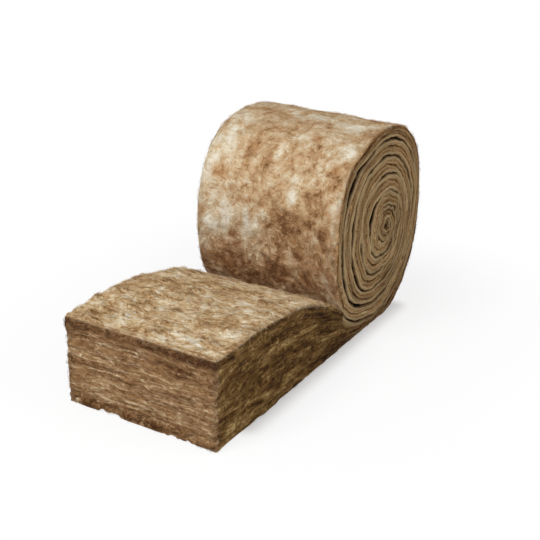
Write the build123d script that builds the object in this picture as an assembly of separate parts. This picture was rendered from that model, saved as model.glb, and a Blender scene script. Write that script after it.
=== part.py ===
from build123d import *
import math
import os

# Mineral wool insulation roll, partly unrolled, in millimetres.
# One blanket: its free end lies flat at full thickness, runs under the roll,
# turns up behind it and winds inwards as compressed turns.
# X runs from the free end towards the roll, Y across the blanket, Z up.
# The origin is the middle of the part's footprint, on the floor.

# The blanket as cut and laid out
blanket_width = 380.0
blanket_thickness = 207.0
tail_length = 706.0

# The roll: how many turns, and how thick the wool is once wound
turns = 6.4
turn_thickness = 38.0
tucked_end_radius = 17.0

# The rolled shape gives under its own weight
roll_width_share = 0.975
roll_height_share = 1.02
corner_fullness_share = 0.05
floor_sink = 9.0
flat_behind_middle = 58.0
landing_turn_share = 0.12

# The inner turns lie behind and below the middle of the roll
eye_setback = 56.0
eye_drop = 16.0

# Where the blanket's upper face leaves the roll, and how it swells from there
nip_turn_share = 0.853
recovery_length = 437.0
recovery_power = 2.7

# The slit between turns, as it shows on both ends of the roll, closing towards its floor
slit_depth = 30.0
slit_width = 3.5
slit_overrun = 6.0

# The cut edges of the wool are soft: bevelled outside, drawn back beside the slit
edge_softness = 4.0
lip_width = 2.5

# The outer turns stand loose on the upper side that faces the free end
loose_slit_width = 7.0
loose_lift = 28.0
loose_angle = 145.0
loose_power = 1.5
loose_start_share = 0.3

# The side of the roll that faces the free end swells into soft pillows, set in from its rims
# and from the nip. Each has shares of a turn before the underside, of the half width across
# and of the pillow height.
pillow_height = 6.5
pillow_reach = 62.0
pillow_margin = 16.0
pillow_border = 34.0
pillow_root = 24.0
first_pillow_share = 0.41
last_pillow_share = 0.79
ground_share = 0.1
buried_share = 0.3
pillow_shares = [
    (0.692, 0.62, 1.0), (0.614, -0.40, 1.0), (0.698, -0.74, 0.9), (0.742, -0.08, 0.9),
    (0.527, 0.46, 0.7), (0.516, -0.58, 0.9), (0.764, 0.66, 0.6), (0.760, -0.58, 0.5),
]

# Fineness of the curves
arcs_per_turn = 10
points_per_turn = 16
points_on_swell = 10
rows_of_pillows = 14
columns_of_pillows = 8
net_tolerance = 1.0

full_circle = 2 * math.pi
roll_radius = tucked_end_radius + turns * turn_thickness
roll_centre_z = roll_radius * roll_height_share - floor_sink
nip_turn = turns - nip_turn_share
half_width = blanket_width / 2


def turn_angle(turn):
    """Direction from the eye, in radians, of a place counted in turns from the eye."""
    return full_circle * (turns - turn) - full_circle / 4


def spiral_point(turn, offset=0.0):
    """A place on the outer face of a turn, moved outwards by an offset."""
    angle = turn_angle(turn)
    radius = tucked_end_radius + turn * turn_thickness + offset
    inwards_share = 1 - radius / roll_radius
    fullness = 1 + corner_fullness_share * math.sin(2 * angle) ** 2
    reach_x = radius * fullness * roll_width_share
    reach_z = radius * fullness * roll_height_share
    x = tail_length + eye_setback * inwards_share + reach_x * math.cos(angle)
    z = roll_centre_z - eye_drop * inwards_share + reach_z * math.sin(angle)
    return Vector(x, 0, z)


def looseness(turn):
    """From 0 to 1: how far the turns stand apart, most on the loose side."""
    facing = math.cos(turn_angle(turn) - math.radians(loose_angle))
    from_nip = max(0.0, min(1.0, (nip_turn - turn) / loose_start_share))
    start = from_nip ** 2 * (3 - 2 * from_nip)
    return start * turn / turns * ((1 + facing) / 2) ** loose_power


def slit_wall(side, widening):
    """Offset of one wall of the slit, as a function of the turn."""
    def offset(turn):
        loose = looseness(turn)
        width = slit_width + loose_slit_width * loose
        return loose_lift * loose + side * (width / 2 + widening)
    return offset


def spiral_direction(turn):
    """The way the outer face of the turns runs at a place, going inwards."""
    nudge = 1 / points_per_turn ** 2
    return spiral_point(turn - nudge) - spiral_point(turn + nudge)


def outer_edge(first_turn, last_turn):
    """One smooth edge along the outer face of the turns, running inwards."""
    steps = round((first_turn - last_turn) * points_per_turn)
    span = (first_turn - last_turn) / steps
    stops = [first_turn - span * step for step in range(steps + 1)]
    tangents = [spiral_direction(first_turn), spiral_direction(last_turn)]
    points = [spiral_point(turn) for turn in stops]
    return Spline(*points, tangents=tangents, tangent_scalars=(1, 1))


def slit_arcs(first_turn, last_turn, offset):
    """Arcs end to end along one wall of the slit, running inwards."""
    count = math.ceil((first_turn - last_turn) * arcs_per_turn)
    span = (first_turn - last_turn) / count
    arcs = []
    for number in range(count):
        stops = [first_turn - span * (number + share) for share in (0, 1 / 2, 1)]
        arcs.append(ThreePointArc(*[spiral_point(turn, offset(turn)) for turn in stops]))
    return arcs


def landing_edge():
    """The underside behind the roll, from lying flat to rising as the outer turn."""
    flat_end = Vector(tail_length + flat_behind_middle, 0, 0)
    rising_turn = turns - landing_turn_share
    tangents = [Vector(1, 0, 0), spiral_direction(rising_turn)]
    return Spline(flat_end, spiral_point(rising_turn), tangents=tangents, tangent_scalars=(1, 1))


def swell_edge(nip):
    """The upper face of the tail, from the nip under the roll to the free end."""
    squeeze = blanket_thickness - nip.Z
    points = []
    for step in range(points_on_swell + 1):
        x = nip.X * (1 - step / points_on_swell)
        squeezed_share = max(0.0, 1 - (nip.X - x) / recovery_length) ** recovery_power
        points.append(Vector(x, 0, blanket_thickness - squeeze * squeezed_share))
    return Spline(*points)


def block(outline, seam):
    """An outline closed by a seam, drawn out to the blanket's width, its other edges soft."""
    section = Pos(0, -half_width, 0) * make_face([*outline, seam])
    solid = extrude(section, blanket_width, dir=(0, 1, 0))
    rims = solid.faces().filter_by(Axis.Y).edges()
    open_rims = rims.sort_by_distance(seam @ 0.5)[2:]
    return chamfer(open_rims, edge_softness)


def plain_blanket():
    """The tail and the roll, joined at an upright seam below the nip."""
    nip = spiral_point(nip_turn)
    seam_foot = Vector(nip.X, 0, 0)
    seam = Line(seam_foot, nip)
    swell = swell_edge(nip)
    landing = landing_edge()
    tail_outline = [Line((0, 0, 0), seam_foot), swell, Line(swell @ 1, (0, 0, 0))]
    outer_turn = outer_edge(turns - landing_turn_share, nip_turn)
    roll_outline = [Line(seam_foot, landing @ 0), landing, outer_turn]
    return block(tail_outline, seam) + block(roll_outline, seam)


def pillow_swell(turn, across):
    """How far the skin swells outwards at a place, below nothing at the pillows' border."""
    rise = ground_share
    for turn_share, across_share, height_share in pillow_shares:
        around = full_circle * roll_radius * (turns - turn_share - turn)
        far = math.hypot(around, across - across_share * half_width) / pillow_reach
        rise += height_share * math.exp(-2 * far ** 2)
    from_rim = half_width - pillow_margin - abs(across)
    from_first = full_circle * roll_radius * (turns - first_pillow_share - turn)
    from_last = full_circle * roll_radius * (turn - turns + last_pillow_share)
    shown_share = max(0.0, min(from_rim, from_first, from_last, pillow_border)) / pillow_border
    return pillow_height * ((rise + buried_share) * shown_share - buried_share)


def pillows():
    """The pillows as one smooth surface, drawn inwards to take root in the roll."""
    span = last_pillow_share - first_pillow_share
    reach = half_width - pillow_margin
    net = []
    for row in range(rows_of_pillows + 1):
        turn = turns - first_pillow_share - span * row / rows_of_pillows
        line = []
        for column in range(columns_of_pillows + 1):
            across = reach * (2 * column / columns_of_pillows - 1)
            line.append(spiral_point(turn, pillow_swell(turn, across)) + Vector(0, across, 0))
        net.append(line)
    skin = Face.make_surface_from_array_of_points(net, tol=net_tolerance, min_deg=3, max_deg=3)
    middle = turn_angle(turns - (first_pillow_share + last_pillow_share) / 2)
    return extrude(skin, pillow_root, dir=(-math.cos(middle), 0, -math.sin(middle)))


def slit_section(depth, widening=0.0):
    """The spiral slit between the turns, from just outside the nip to the eye."""
    overrun_turn = slit_overrun / (full_circle * roll_radius)
    first, last = nip_turn + overrun_turn, 0.0
    outer = slit_arcs(first, last, slit_wall(1, widening))
    inner = slit_arcs(first, last, slit_wall(-1, widening))
    mouth = Line(outer[0] @ 0, inner[0] @ 0)
    inner_end = Line(outer[-1] @ 1, inner[-1] @ 1)
    return Pos(0, depth - half_width, 0) * make_face([mouth, *outer, *inner, inner_end])


def slit_cutter():
    """The cutter for the near end: drawn back at its lips, closing to the slit's own width."""
    return loft([slit_section(0, lip_width), slit_section(slit_depth)], ruled=True)


def wool_blanket():
    """The whole blanket, with its turns showing on both ends of the roll."""
    cutter = slit_cutter()
    solid = plain_blanket() + pillows() - cutter - mirror(cutter, Plane.XZ)
    box = solid.bounding_box()
    return Pos(-box.center().X, 0, -box.min.Z) * solid


os.makedirs("parts", exist_ok=True)
export_step(wool_blanket(), "parts/wool_blanket.step")
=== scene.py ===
import math

import bmesh
import bpy
import numpy as np
from mathutils import Matrix, Vector, noise


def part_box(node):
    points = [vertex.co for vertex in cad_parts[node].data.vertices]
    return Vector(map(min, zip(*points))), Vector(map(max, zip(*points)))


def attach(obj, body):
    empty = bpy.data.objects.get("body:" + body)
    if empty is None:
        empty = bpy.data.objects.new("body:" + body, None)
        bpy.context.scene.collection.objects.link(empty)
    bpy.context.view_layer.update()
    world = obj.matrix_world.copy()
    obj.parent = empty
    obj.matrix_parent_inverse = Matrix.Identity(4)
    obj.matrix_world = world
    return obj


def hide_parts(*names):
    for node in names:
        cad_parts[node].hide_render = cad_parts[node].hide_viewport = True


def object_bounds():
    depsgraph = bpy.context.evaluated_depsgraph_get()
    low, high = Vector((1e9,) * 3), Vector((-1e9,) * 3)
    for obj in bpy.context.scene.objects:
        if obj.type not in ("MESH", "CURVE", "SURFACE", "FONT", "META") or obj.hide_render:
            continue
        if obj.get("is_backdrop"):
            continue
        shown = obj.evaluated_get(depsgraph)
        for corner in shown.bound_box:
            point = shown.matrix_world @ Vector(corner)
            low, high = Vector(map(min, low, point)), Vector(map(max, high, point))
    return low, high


# Mineral wool insulation roll, dressed: one blanket with its free end laid out flat
# and the rest wound up, and the loose fibres that stand on it. All sizes in metres.
# X runs from the free end towards the roll, Y across the blanket, Z up.

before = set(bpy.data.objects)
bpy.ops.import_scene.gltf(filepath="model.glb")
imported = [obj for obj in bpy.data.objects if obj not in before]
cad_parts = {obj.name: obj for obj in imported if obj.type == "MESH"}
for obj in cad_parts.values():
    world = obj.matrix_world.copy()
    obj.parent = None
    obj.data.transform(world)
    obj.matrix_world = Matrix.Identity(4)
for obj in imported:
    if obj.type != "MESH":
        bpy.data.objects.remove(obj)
cad_low, cad_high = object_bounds()
free_end_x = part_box("wool_blanket")[0].x

# Camera, as the photograph was taken

camera_place = (-1.9631, -1.1826, 1.1685)
camera_azimuth = math.radians(-59.46)
camera_elevation = math.radians(23.28)
camera_roll = math.radians(1.09)
camera_lens = 70.47


def add_camera():
    """The camera at the photograph's place, turned a little about its own line of sight."""
    back = Vector((
        math.sin(camera_azimuth) * math.cos(camera_elevation),
        -math.cos(camera_azimuth) * math.cos(camera_elevation),
        math.sin(camera_elevation),
    ))
    level = Vector((math.cos(camera_azimuth), math.sin(camera_azimuth), 0))
    upright = back.cross(level)
    right = level * math.cos(camera_roll) + upright * math.sin(camera_roll)
    up = upright * math.cos(camera_roll) - level * math.sin(camera_roll)
    lens = bpy.data.cameras.new("camera")
    lens.lens = camera_lens
    camera = bpy.data.objects.new("camera", lens)
    turned = Matrix((right, up, back)).transposed().to_4x4()
    camera.matrix_world = Matrix.Translation(camera_place) @ turned
    bpy.context.scene.collection.objects.link(camera)
    bpy.context.scene.camera = camera


add_camera()

# The blanket's section, as the part has it

blanket_width = 0.380
blanket_thickness = 0.207
tail_length = 0.706
turns = 6.4
turn_thickness = 0.038
tucked_end_radius = 0.017
roll_width_share = 0.975
roll_height_share = 1.02
corner_fullness_share = 0.05
floor_sink = 0.009
flat_behind_middle = 0.058
landing_turn_share = 0.12
eye_setback = 0.056
eye_drop = 0.016
nip_turn_share = 0.853
recovery_length = 0.437
recovery_power = 2.7
loose_lift = 0.028
loose_angle = math.radians(145)
loose_power = 1.5
loose_start_share = 0.3

pillow_height = 0.0065
pillow_reach = 0.062
pillow_margin = 0.016
pillow_border = 0.034
first_pillow_share = 0.41
last_pillow_share = 0.79
ground_share = 0.1
buried_share = 0.3
pillow_shares = (
    (0.692, 0.62, 1.0), (0.614, -0.40, 1.0), (0.698, -0.74, 0.9), (0.742, -0.08, 0.9),
    (0.527, 0.46, 0.7), (0.516, -0.58, 0.9), (0.764, 0.66, 0.6), (0.760, -0.58, 0.5),
)

# How the wool is laid against itself
slit_width = 0.0028
least_slit_width = 0.0016
loose_slit_width = 0.019
gaping_angle = math.radians(186)
gaping_power = 5.0
gape_lift = 0.004
settled_share = 0.38
slit_depth = 0.026
eye_depth = 0.010
slit_start_turns = 0.02
lip_draw = 0.0022
edge_cut = 0.0035
pinch_turns = 0.012
pinch_gap = 0.004
pinch_reach = 0.012
flat_turn_share = 0.04
floor_clearance = 0.0005
largest_gap_share = 0.6

# The wool's layers close up as they are wound: from a place before the nip to one beyond it
winding_lead = 0.1
winding_length = 0.45
wound_layer_share = 0.38

# Soft patches on the roll and on the tail's top, each (along, across, half length,
# half width, strength), along the blanket from its free end and across from its middle
pale_patches = (
    (1.79, 0.172, 0.060, 0.022, 0.9), (1.69, 0.155, 0.040, 0.026, 1.0),
    (1.61, 0.150, 0.035, 0.028, 0.9), (1.65, -0.022, 0.012, 0.030, 1.0),
    (1.70, 0.004, 0.022, 0.009, 1.4), (1.66, -0.155, 0.024, 0.022, 1.3),
    (1.55, -0.125, 0.030, 0.040, 0.9), (1.53, -0.01, 0.022, 0.080, 0.8),
    (1.80, -0.062, 0.014, 0.013, 2.0), (1.88, 0.112, 0.050, 0.022, 1.2),
    (1.875, 0.053, 0.026, 0.009, 1.8), (1.76, -0.045, 0.012, 0.045, 0.4),
    (1.79, 0.062, 0.040, 0.010, 0.4), (1.74, -0.125, 0.016, 0.010, 0.5),
    (1.89, -0.130, 0.022, 0.018, 0.4), (1.98, -0.160, 0.030, 0.014, 0.9),
    (1.92, 0.160, 0.040, 0.022, 1.0), (1.40, 0.13, 0.030, 0.030, 0.7),
    (1.30, -0.06, 0.040, 0.035, 0.7), (1.15, 0.09, 0.030, 0.045, 0.7),
    (1.00, -0.11, 0.040, 0.030, 0.7),
    (0.21, -0.03, 0.030, 0.032, 0.9), (0.12, 0.01, 0.013, 0.022, 1.0),
    (0.04, -0.12, 0.016, 0.034, 1.1), (0.01, 0.00, 0.009, 0.030, 0.8),
    (0.04, 0.07, 0.016, 0.016, 0.6), (0.27, -0.08, 0.016, 0.034, 0.9),
    (0.14, -0.13, 0.020, 0.020, 0.7), (0.36, -0.12, 0.016, 0.034, 0.7),
    (0.40, 0.05, 0.020, 0.050, 0.7), (0.32, 0.15, 0.050, 0.020, 0.6),
)
brown_patches = (
    (1.78, 0.138, 0.022, 0.022, 1.0), (1.55, 0.128, 0.022, 0.045, 1.0),
    (1.68, 0.070, 0.055, 0.022, 0.7), (1.745, 0.028, 0.030, 0.020, 0.7),
    (1.745, -0.147, 0.022, 0.022, 1.0), (1.68, -0.075, 0.018, 0.014, 0.7),
    (1.92, 0.085, 0.022, 0.020, 0.9), (1.985, 0.142, 0.024, 0.035, 0.6),
    (1.80, -0.110, 0.055, 0.026, 1.4), (1.86, -0.115, 0.045, 0.034, 1.3),
    (1.82, 0.045, 0.030, 0.030, 0.6), (1.98, 0.02, 0.030, 0.050, 0.4),
    (1.875, -0.050, 0.022, 0.020, 0.8),
    (1.837, -0.040, 0.014, 0.030, 0.7), (1.785, -0.150, 0.018, 0.014, 0.7),
    (1.92, -0.088, 0.024, 0.016, 0.9), (1.875, -0.155, 0.030, 0.012, 0.8),
    (1.975, -0.04, 0.020, 0.030, 0.5), (2.01, 0.00, 0.026, 0.180, 0.3),
    (1.46, -0.14, 0.040, 0.050, 0.6), (1.22, -0.02, 0.050, 0.060, 0.8),
    (1.05, 0.05, 0.040, 0.050, 0.8), (1.38, 0.02, 0.040, 0.050, 0.6),
    (0.16, 0.12, 0.022, 0.022, 0.7), (0.12, 0.08, 0.020, 0.013, 0.9),
    (0.25, 0.06, 0.020, 0.032, 0.5), (0.03, 0.12, 0.016, 0.034, 0.9),
    (0.35, -0.02, 0.030, 0.055, 0.7), (0.08, -0.03, 0.012, 0.030, 0.6),
    (0.49, 0.00, 0.020, 0.190, 0.8),
)
# Swellings and hollows of the tail's top, each with a height in place of a strength
swellings = (
    (0.13, -0.15, 0.060, 0.040, 0.005),
    (0.12, 0.16, 0.060, 0.050, -0.008), (0.24, 0.15, 0.070, 0.050, -0.008),
)
# Two faint folds in the roll's skin, as places (along, across) that they pass
folds = (
    ((1.82, -0.02), (1.84, -0.09), (1.87, -0.15), (1.92, -0.186)),
    ((1.94, 0.01), (1.97, -0.06), (2.01, -0.107)),
)
fold_width = 0.0045
fold_depth = 0.0065
fold_waver = 0.006
patch_raggedness = 0.6
patch_edge_size = 0.03

# Sizes of the lumps in the wool, and how high they stand on the roll, on the torn top,
# on the cut end and along its foot
broad_size = 0.16
middling_size = 0.05
small_size = 0.018
tuft_size = (0.022, 0.030, 0.016)
torn_tuft_size = (0.016, 0.060, 0.020)
layer_size = (1.0, 0.20, 0.009)
ledge_size = (1.0, 0.13, 0.028)
roll_heights = {
    "broad": 0.0026, "middling": 0.0026, "small": 0.0018, "tufts": 0.0014, "pale": 0.0010,
}
top_heights = {"broad": 0.0040, "middling": 0.0040, "small": 0.0026, "torn_tufts": 0.0020}
end_heights = {
    "broad": 0.0040, "middling": 0.0025, "layers": 0.0034, "ledges": 0.0030,
    "small": 0.0014, "beneath_top": -0.0060,
}
foot_heights = {"small": 0.0080, "tufts": 0.0040}

# Lumps on the tail's sides and the roll's ends, each (height, size, octaves, shift)
cut_lumps = (
    (0.0034, (0.12, 1.0, 0.009), 3, 20.0),
    (0.0034, (0.040, 1.0, 0.020), 3, 23.0),
    (0.0030, (0.22, 1.0, 0.15), 2, 27.0),
)
wound_relief_share = 0.55

# How uneven the turns are, the painted shadow in the slits, and the painted highlights and painted
# shade on the lips beside them
turn_wander = 0.008
turn_wander_size = 0.55
steadied_share = 0.7
turn_reach = 0.006
turn_reach_size = 0.8
slit_wander = 0.0021
slit_wander_size = 0.10
seam_depth = 0.0070
seam_width_share = 0.055
seam_waver = ((0.09, 8.5), (0.05, 21.0))
lip_share = 0.11
lip_roundness = 0.45
lip_painted_highlight = 0.9
lip_edge_painted_shade = 0.6
slit_painted_shadow = 4.0
closed_slit_painted_shadow = 0.9
open_angle = math.radians(155)

# Painted shade: hollows on the torn top and, from one depth to another, on the tail's sides are
# painted darker, and so are the folds
hollow_painted_shade = 0.35
hollow_from = 0.001
hollow_to = 0.005
fold_painted_shade = 0.6

# Rims and the free end's foot
rim_reach = 0.010
end_rim_share = 0.35
corner_brownness = 0.40
corner_from = 0.02
corner_to = -0.15
foot_lift = 0.008
foot_reach = 0.022
band_waver_share = 0.035
band_waver_size = (1.0, 0.05, 1.0)

# Fineness of the surface
row_step = 0.0045
floor_step = 0.011
layer_step = 0.0032
side_layer_step = 0.0037
fine_rows_per_turn = 250
coarse_rows_per_turn = 130
coarse_from_turn = 3.0
columns_per_turn = 13
crowding_share = 0.35
eye_steps = 24
outline_steps = 600
measuring_steps = 900
turn_tolerance = 1e-9
slit_station = 0.004

full_circle = 2 * math.pi
roll_radius = tucked_end_radius + turns * turn_thickness
roll_centre_z = roll_radius * roll_height_share - floor_sink
nip_turn = turns - nip_turn_share
crease_turn = nip_turn - pinch_turns
landing_turn = turns - landing_turn_share
flat_turn = turns - flat_turn_share
wound_layers = wound_layer_share * blanket_thickness
half_width = blanket_width / 2


def smooth(low, high, value):
    """From 0 to 1 as a value goes from low to high, eased at both ends."""
    share = np.clip((value - low) / (high - low), 0, 1)
    return share * share * (3 - 2 * share)


def lumps(places, size, octaves, shift):
    """Noise from about -1 to 1 at each place, with lumps of a size along each axis."""
    scaled = np.asarray(places, dtype=float) / size + shift
    flat = [noise.fractal(place, 1.0, 2.0, octaves) for place in scaled.reshape(-1, 3).tolist()]
    return np.array(flat).reshape(scaled.shape[:-1])


def spots(table, along, across):
    """The summed strength of soft patches at places along and across the blanket."""
    places = np.stack([along, across, along * 0], axis=-1)
    ragged = 1 + patch_raggedness * lumps(places, patch_edge_size, 4, 60.0)
    total = np.zeros(along.shape)
    for middle, beside, half_length, half_breadth, strength in table:
        far = np.hypot((along - middle) / half_length, (across - beside) / half_breadth)
        total += strength * np.exp(-(far * ragged) ** 2)
    return total


def fold_share(along, across):
    """From 0 to 1: how near a place is to the bottom of a fold."""
    nearest = np.full(along.shape, 1.0)
    for line in folds:
        for (start, beside), (end, end_beside) in zip(line, line[1:]):
            run, drift = end - start, end_beside - beside
            share = ((along - start) * run + (across - beside) * drift) / math.hypot(run, drift) ** 2
            share = np.clip(share, 0, 1)
            far = np.hypot(along - start - share * run, across - beside - share * drift)
            nearest = np.minimum(nearest, far)
    return np.exp(-(nearest / fold_width) ** 2)


def turn_angle(turn):
    """Direction from the eye of a place counted in turns from the eye."""
    return full_circle * (turns - turn) - full_circle / 4


def round_the_eye(turn, pitch=1):
    """Places on a plain helix, for noise that follows the turns."""
    angle = turn_angle(turn)
    return np.stack([np.cos(angle), np.sin(angle), turn / pitch], axis=-1)


def facing(turn, angle):
    """From 0 to 1: how nearly a place on a turn faces an angle."""
    return (1 + np.cos(turn_angle(turn) - angle)) / 2


def turn_radius(turn):
    """Radius of a turn's outer face, closing on the eye inside the tucked end."""
    wound = tucked_end_radius + turn * turn_thickness
    return np.where(turn < 0, tucked_end_radius * (1 + turn), wound)


def on_spiral(turn, offset=0.0):
    """Places (x, z) on the outer face of a turn, moved outwards by an offset."""
    angle = turn_angle(turn)
    radius = turn_radius(turn) + offset
    inwards_share = 1 - radius / roll_radius
    fullness = 1 + corner_fullness_share * np.sin(2 * angle) ** 2
    reach_x = radius * fullness * roll_width_share
    reach_z = radius * fullness * roll_height_share
    x = tail_length + eye_setback * inwards_share + reach_x * np.cos(angle)
    z = roll_centre_z - eye_drop * inwards_share + reach_z * np.sin(angle)
    return np.stack([x, z], axis=-1)


def looseness(turn):
    """From 0 to 1: how far the turns stand apart, most on the loose side."""
    start = smooth(0, loose_start_share, nip_turn - turn)
    return start * np.clip(turn, 0, turns) / turns * facing(turn, loose_angle) ** loose_power


def pillow_swell(turn, across):
    """How far the skin swells out into pillows at a place, as on the part."""
    rise = ground_share
    for turn_share, across_share, height_share in pillow_shares:
        around = full_circle * roll_radius * (turns - turn_share - turn)
        far = np.hypot(around, across - across_share * half_width) / pillow_reach
        rise = rise + height_share * np.exp(-2 * far ** 2)
    from_rim = half_width - pillow_margin - np.abs(across)
    from_first = full_circle * roll_radius * (turns - first_pillow_share - turn)
    from_last = full_circle * roll_radius * (turn - turns + last_pillow_share)
    nearest = np.minimum(from_rim, np.minimum(from_first, from_last))
    shown_share = np.clip(nearest / pillow_border, 0, 1)
    return pillow_height * np.clip((rise + buried_share) * shown_share - buried_share, 0, None)


def wound_length(turn):
    """Length along the blanket from its free end to a turn of the roll."""
    first = crease_turn + 1
    wound = turn_thickness * (first ** 2 - turn ** 2) / 2
    return nip[0] + full_circle * (tucked_end_radius * (first - turn) + wound)


nip = on_spiral(np.float64(nip_turn))


def tail_top(x):
    """Height of the tail's upper face, squeezed towards the nip and tucked into it."""
    squeezed_share = np.clip(1 - (nip[0] - x) / recovery_length, 0, 1) ** recovery_power
    tuck = pinch_gap * np.exp(-np.clip(nip[0] - x, 0, None) / pinch_reach)
    return blanket_thickness - (blanket_thickness - nip[1]) * squeezed_share - tuck


def hermite(start, start_way, end, end_way, shares):
    """A smooth line between two places, leaving and arriving in given ways."""
    u = shares[:, None]
    return (
        (1 + 2 * u) * (1 - u) ** 2 * start + u * (1 - u) ** 2 * start_way
        + u * u * (3 - 2 * u) * end + u * u * (u - 1) * end_way
    )


def outer_face(turn):
    """Places on the blanket's outer face from below the nip, round the roll, to the nip."""
    places = on_spiral(turn)
    flat_end = np.array([tail_length + flat_behind_middle, 0.0])
    lying = turn >= flat_turn
    share = (crease_turn + 1 - turn[lying]) / (crease_turn + 1 - flat_turn)
    crease_x = on_spiral(np.float64(crease_turn))[0]
    places[lying, 0] = crease_x + (flat_end[0] - crease_x) * share
    places[lying, 1] = 0
    rising = (turn < flat_turn) & (turn > landing_turn)
    landed = on_spiral(np.float64(landing_turn))
    nudge = 0.001
    way = (on_spiral(np.float64(landing_turn - nudge)) - landed) / nudge
    span = flat_turn - landing_turn
    reach = np.linalg.norm(landed - flat_end)
    shares = (flat_turn - turn[rising]) / span
    places[rising] = hermite(flat_end, np.array([reach, 0]), landed, way * span, shares)
    return places


# Collecting the surface


class Surface:
    """The blanket's closed surface: its places, their marks and painted shade, and its faces with
    wool coordinates.
    """

    def __init__(self):
        self.count = 0
        self.places = []
        self.sorts = []
        self.marks_and_shade = []
        self.flows = []
        self.rims = []
        self.faces = []
        self.corners = []

    def add(self, places, sort, marks_and_shade, flow, rim=0.0):
        """Adds places with their sort, marks and painted shade, the way the wool lies and how near a
        rim they are.
        """
        shape = places.shape[:-1]
        total = int(np.prod(shape))
        self.places.append(places.reshape(-1, 3))
        self.sorts.append(np.broadcast_to(sort, shape + (3,)).reshape(-1, 3))
        self.marks_and_shade.append(np.broadcast_to(marks_and_shade, shape + (3,)).reshape(-1, 3))
        self.flows.append(np.broadcast_to(flow, shape + (3,)).reshape(-1, 3))
        self.rims.append(np.broadcast_to(rim, shape).ravel())
        self.count += total
        return np.arange(self.count - total, self.count).reshape(shape)

    def grid(self, numbers, wool):
        """Four-sided faces over rows and columns of places."""
        for table, kept in ((numbers, self.faces), (wool, self.corners)):
            four = [table[:-1, :-1], table[1:, :-1], table[1:, 1:], table[:-1, 1:]]
            stacked = np.stack(four, axis=2).reshape((-1, 4) + table.shape[2:])
            kept.extend(stacked.tolist())

    def zip(self, first, second):
        """Three-sided faces between two lines, each (numbers, wool, stations) in the same order."""
        (numbers, wool, stations), (others, other_wool, other_stations) = first, second
        i = j = 0
        while i + 1 < len(numbers) or j + 1 < len(others):
            on_first = i + 1 < len(numbers)
            if on_first and j + 1 < len(others):
                on_first = stations[i + 1] <= other_stations[j + 1]
            if on_first:
                self.faces.append([int(numbers[i]), int(numbers[i + 1]), int(others[j])])
                self.corners.append([list(wool[i]), list(wool[i + 1]), list(other_wool[j])])
                i += 1
            else:
                self.faces.append([int(numbers[i]), int(others[j + 1]), int(others[j])])
                self.corners.append([list(wool[i]), list(other_wool[j + 1]), list(other_wool[j])])
                j += 1

    def mesh(self, name):
        """A mesh of everything collected, its normals outwards."""
        mesh = bpy.data.meshes.new(name)
        mesh.from_pydata(np.concatenate(self.places).tolist(), [], self.faces)
        for attribute, values in (
            ("sort", self.sorts), ("marks_and_shade", self.marks_and_shade), ("flow", self.flows),
        ):
            layer = mesh.attributes.new(attribute, "FLOAT_VECTOR", "POINT")
            layer.data.foreach_set("vector", np.concatenate(values).astype(np.float32).ravel())
        layer = mesh.attributes.new("rim", "FLOAT", "POINT")
        layer.data.foreach_set("value", np.concatenate(self.rims).astype(np.float32))
        layer = mesh.attributes.new("wool", "FLOAT_VECTOR", "CORNER")
        flat = [corner for face in self.corners for corner in face]
        layer.data.foreach_set("vector", np.array(flat, dtype=np.float32).ravel())
        turned = bmesh.new()
        turned.from_mesh(mesh)
        bmesh.ops.recalc_face_normals(turned, faces=turned.faces)
        turned.to_mesh(mesh)
        turned.free()
        mesh.shade_smooth()
        return mesh


surface = Surface()
felted = np.array([1.0, 0.0, 0.0])
torn = np.array([0.0, 1.0, 0.0])
sawn = np.array([0.0, 0.0, 1.0])

# The faces that run across the blanket: top, free end, underside and roll


def lengths_along(line):
    """Length from the start of a line of places to each of them."""
    return np.concatenate([[0], np.cumsum(np.linalg.norm(np.diff(line, axis=0), axis=1))])


def evenly_laid(line, step):
    """A line of places laid out again at even steps, and the share of its length at each."""
    lengths = lengths_along(line)
    count = max(2, int(round(lengths[-1] / step)) + 1)
    wanted = np.linspace(0, lengths[-1], count)
    places = np.stack([np.interp(wanted, lengths, line[:, axis]) for axis in range(2)], axis=-1)
    return places, wanted / lengths[-1]


def wrap_rows():
    """The section's outline from the crease, round the tail and the roll, back to the crease.

    Stations run from 0 to 1 along the top, to 2 down the free end, to 3 along the underside
    and to 4 round the roll.
    """
    tucked_turns = np.linspace(crease_turn, nip_turn, 5)[:-1]
    tucked = on_spiral(tucked_turns, pinch_gap * smooth(crease_turn, nip_turn, tucked_turns))
    top_x = np.linspace(nip[0], edge_cut, outline_steps)
    top = np.concatenate([tucked, np.stack([top_x, tail_top(top_x)], axis=-1)])
    end_z = np.linspace(blanket_thickness - edge_cut, edge_cut, outline_steps)
    end = np.stack([end_z * 0, end_z], axis=-1)
    flat_x = np.linspace(edge_cut, tail_length + flat_behind_middle, outline_steps)
    under = np.stack([flat_x, flat_x * 0], axis=-1)
    roll = outer_face(np.linspace(flat_turn, crease_turn, outline_steps))
    rows = []
    for number, (line, step, sort) in enumerate((
        (top, row_step, torn), (end, layer_step, sawn),
        (under, floor_step, felted), (roll, row_step, felted),
    )):
        places, shares = evenly_laid(line, step)
        rows.append((places, number + shares, np.tile(sort, (len(places), 1))))
    rows[2] = tuple(part[:-1] for part in rows[2])
    rows[3] = tuple(part[:-1] for part in rows[3])
    return [np.concatenate(parts) for parts in zip(*rows)]


def station_of_roll(turn):
    """Station on the wrap of a turn on the outer face, from below the nip to the crease."""
    dense = np.linspace(flat_turn, crease_turn, outline_steps)
    lengths = lengths_along(outer_face(dense))
    on_roll = 3 + np.interp(flat_turn - turn, flat_turn - dense, lengths / lengths[-1])
    flat_length = tail_length + flat_behind_middle
    lying = 2 + outer_face(np.atleast_1d(turn))[:, 0] / flat_length
    return np.where(turn > flat_turn, lying, on_roll)


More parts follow.
